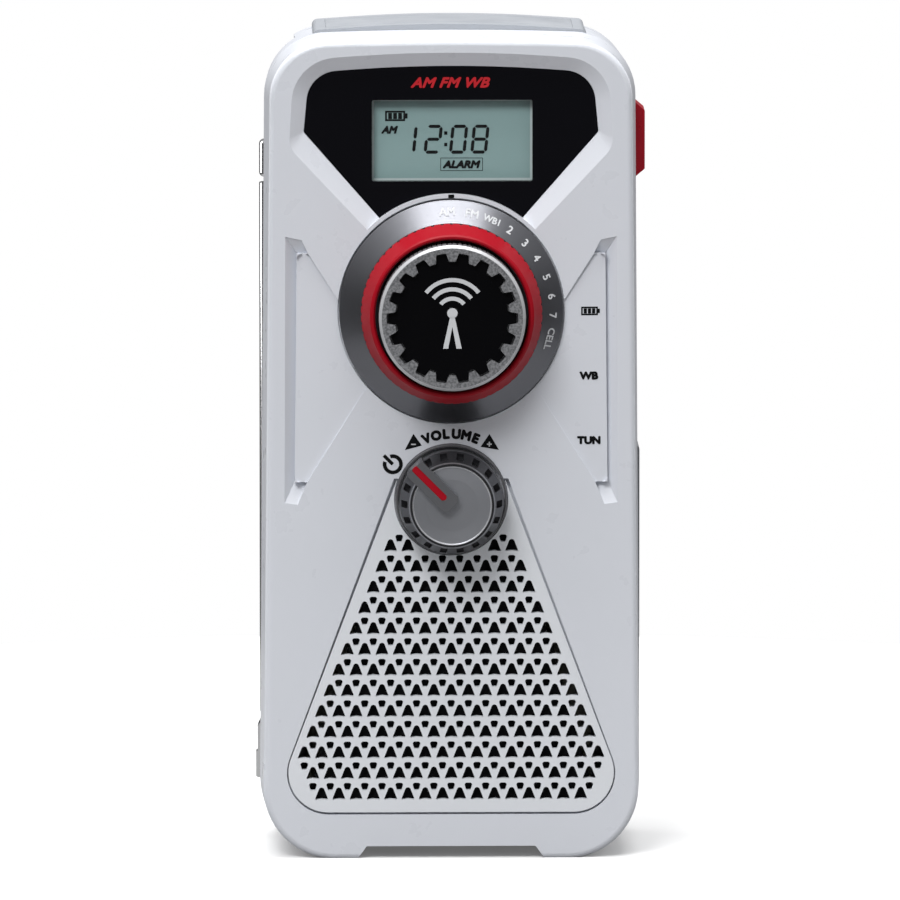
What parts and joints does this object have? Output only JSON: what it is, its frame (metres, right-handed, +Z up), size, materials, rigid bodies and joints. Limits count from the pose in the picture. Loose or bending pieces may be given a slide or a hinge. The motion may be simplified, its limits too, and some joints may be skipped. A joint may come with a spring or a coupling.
{
  "type": "hand-crank emergency radio",
  "caption": "Upright pocket radio with display window, band dial, tuning and volume knobs, speaker grille, solar panel, whip antenna, flashlight and folding rear crank.",
  "frame": {"origin": "on the standing surface under the middle of the overall box", "axes": "+Z up, +X to the right of someone facing the front, front face towards -Y"},
  "size_m": [0.0677, 0.0528, 0.1445],
  "materials": {
    "shell_white": "satin moulded plastic",
    "grille_white": "satin moulded plastic",
    "window_black": "gloss",
    "clear_lens": "clear gloss",
    "lcd_green": "satin",
    "dial_grey": "turned satin",
    "grip_red": "satin",
    "knob_grey": "satin",
    "knob_silver": "satin silver paint",
    "insert_black": "gloss",
    "button_red": "gloss",
    "cover_grey": "matt",
    "rear_black": "fine texture",
    "chrome": "polished",
    "steel": "machined",
    "nylon": "moulded",
    "board_green": "solder mask",
    "chip_black": "matt",
    "ferrite": "ground",
    "copper": "enamelled wire",
    "brass": "turned",
    "solar_blue": "gloss",
    "solar_silver": "satin",
    "reflector": "vacuum coated",
    "led_yellow": "gloss",
    "speaker_steel": "plated",
    "cone_paper": "paper",
    "cell_jacket": "printed sleeve"
  },
  "bodies": {
    "case": {"front_shell": "shell_white", "rear_shell": "shell_white", "speaker_grille": "grille_white", "display_window": "window_black", "display_lens": "clear_lens", "lcd_panel": "lcd_green", "lcd_holder": "chip_black", "volume_bezel": "knob_grey", "volume_pot": "steel", "tuning_encoder": "steel", "band_switch": "nylon", "flashlight_lens": "clear_lens", "flashlight_reflector": "reflector", "flashlight_led": "led_yellow", "usb_socket": "steel", "charge_socket": "steel", "earphone_jack": "insert_black", "solar_frame": "solar_silver", "solar_cell": "solar_blue", "solar_cover": "clear_lens", "generator_stator": "copper", "generator_housing": "speaker_steel", "gearbox_plate": "steel", "main_board": "board_green", "board_components": "chip_black", "ferrite_rod": "ferrite", "ferrite_coil": "copper", "speaker_frame": "speaker_steel", "speaker_cone": "cone_paper", "speaker_magnet": "speaker_steel", "battery_tray": "nylon", "battery_cells": "cell_jacket", "case_screws": "steel"},
    "band_dial": {"band_dial_ring": "dial_grey", "band_grip_ring": "grip_red", "band_contact_disc": "brass"},
    "tuner": {"tuning_knob": "knob_grey", "tuning_insert": "insert_black", "tuning_shaft": "steel"},
    "volume": {"volume_knob": "knob_silver", "volume_pointer": "grip_red", "volume_shaft": "steel"},
    "light_button": {"light_button": "button_red"},
    "port_cover": {"port_cover": "cover_grey"},
    "battery_door": {"battery_door": "shell_white"},
    "antenna_turret": {"antenna_base": "chrome", "antenna_pin": "steel"},
    "antenna_section_1": {"antenna_tube_1": "chrome"},
    "antenna_section_2": {"antenna_tube_2": "chrome"},
    "antenna_section_3": {"antenna_tube_3": "chrome"},
    "antenna_section_4": {"antenna_rod": "chrome", "antenna_tip": "chrome"},
    "crank": {"crank_arm": "rear_black", "crank_shaft": "steel", "crank_gear": "nylon", "crank_knob_pin": "steel"},
    "crank_knob_yoke": {"crank_knob_yoke": "rear_black"},
    "crank_knob": {"crank_knob": "cover_grey"},
    "idler": {"idler_gear": "nylon"},
    "rotor": {"generator_rotor": "steel"}
  },
  "joints": [
    {"name": "band_dial_turn", "type": "hinge", "parent": "case", "child": "band_dial", "pos_m": [0, -0.016, 0.0959], "axis": [0, -1, 0], "range_deg": [0, 108]},
    {"name": "tuning_turn", "type": "hinge", "parent": "case", "child": "tuner", "pos_m": [0, -0.016, 0.0959], "axis": [0, 1, 0], "continuous": true},
    {"name": "volume_turn", "type": "hinge", "parent": "case", "child": "volume", "pos_m": [0, -0.016, 0.063], "axis": [0, 1, 0], "range_deg": [0, 270]},
    {"name": "light_button_press", "type": "slide", "parent": "case", "child": "light_button", "axis": [-1, 0, 0], "range_m": [0, 0.001], "stiffness_N_per_m": 900},
    {"name": "port_cover_open", "type": "hinge", "parent": "case", "child": "port_cover", "pos_m": [0.0323, 0.0141, 0.042], "axis": [0, 0, 1], "range_deg": [0, 90]},
    {"name": "battery_door_open", "type": "hinge", "parent": "case", "child": "battery_door", "pos_m": [0, 0.019, 0.0056], "axis": [-1, 0, 0], "range_deg": [0, 100]},
    {"name": "antenna_swivel", "type": "hinge", "parent": "case", "child": "antenna_turret", "pos_m": [-0.0305, 0.009, 0.0125], "axis": [0, 0, -1], "range_deg": [0, 90]},
    {"name": "antenna_tilt", "type": "hinge", "parent": "antenna_turret", "child": "antenna_section_1", "pos_m": [-0.0305, 0.009, 0.0189], "axis": [0, -1, 0], "range_deg": [0, 90]},
    {"name": "antenna_extend_1", "type": "slide", "parent": "antenna_section_1", "child": "antenna_section_2", "axis": [0, 0, 1], "range_m": [0, 0.08]},
    {"name": "antenna_extend_2", "type": "slide", "parent": "antenna_section_2", "child": "antenna_section_3", "axis": [0, 0, 1], "range_m": [0, 0.08]},
    {"name": "antenna_extend_3", "type": "slide", "parent": "antenna_section_3", "child": "antenna_section_4", "axis": [0, 0, 1], "range_m": [0, 0.078]},
    {"name": "crank_turn", "type": "hinge", "parent": "case", "child": "crank", "pos_m": [0, 0.023, 0.092], "axis": [0, 1, 0], "continuous": true},
    {"name": "idler_turn", "type": "hinge", "parent": "case", "child": "idler", "pos_m": [0.01201, 0.0113, 0.10621], "axis": [0, 1, 0], "continuous": true},
    {"name": "rotor_turn", "type": "hinge", "parent": "case", "child": "rotor", "pos_m": [-0.00248, 0.0063, 0.112], "axis": [0, 1, 0], "continuous": true},
    {"name": "crank_knob_fold", "type": "hinge", "parent": "crank", "child": "crank_knob_yoke", "pos_m": [0, 0.0233, 0.049], "axis": [-1, 0, 0], "range_deg": [0, 90]},
    {"name": "crank_knob_spin", "type": "hinge", "parent": "crank_knob_yoke", "child": "crank_knob", "pos_m": [0, 0.0233, 0.06], "axis": [0, 0, 1], "continuous": true}
  ],
  "couplings": [
    {"joint": "idler_turn", "follows": "crank_turn", "ratio": -4.1667},
    {"joint": "rotor_turn", "follows": "crank_turn", "ratio": 13.889}
  ]
}
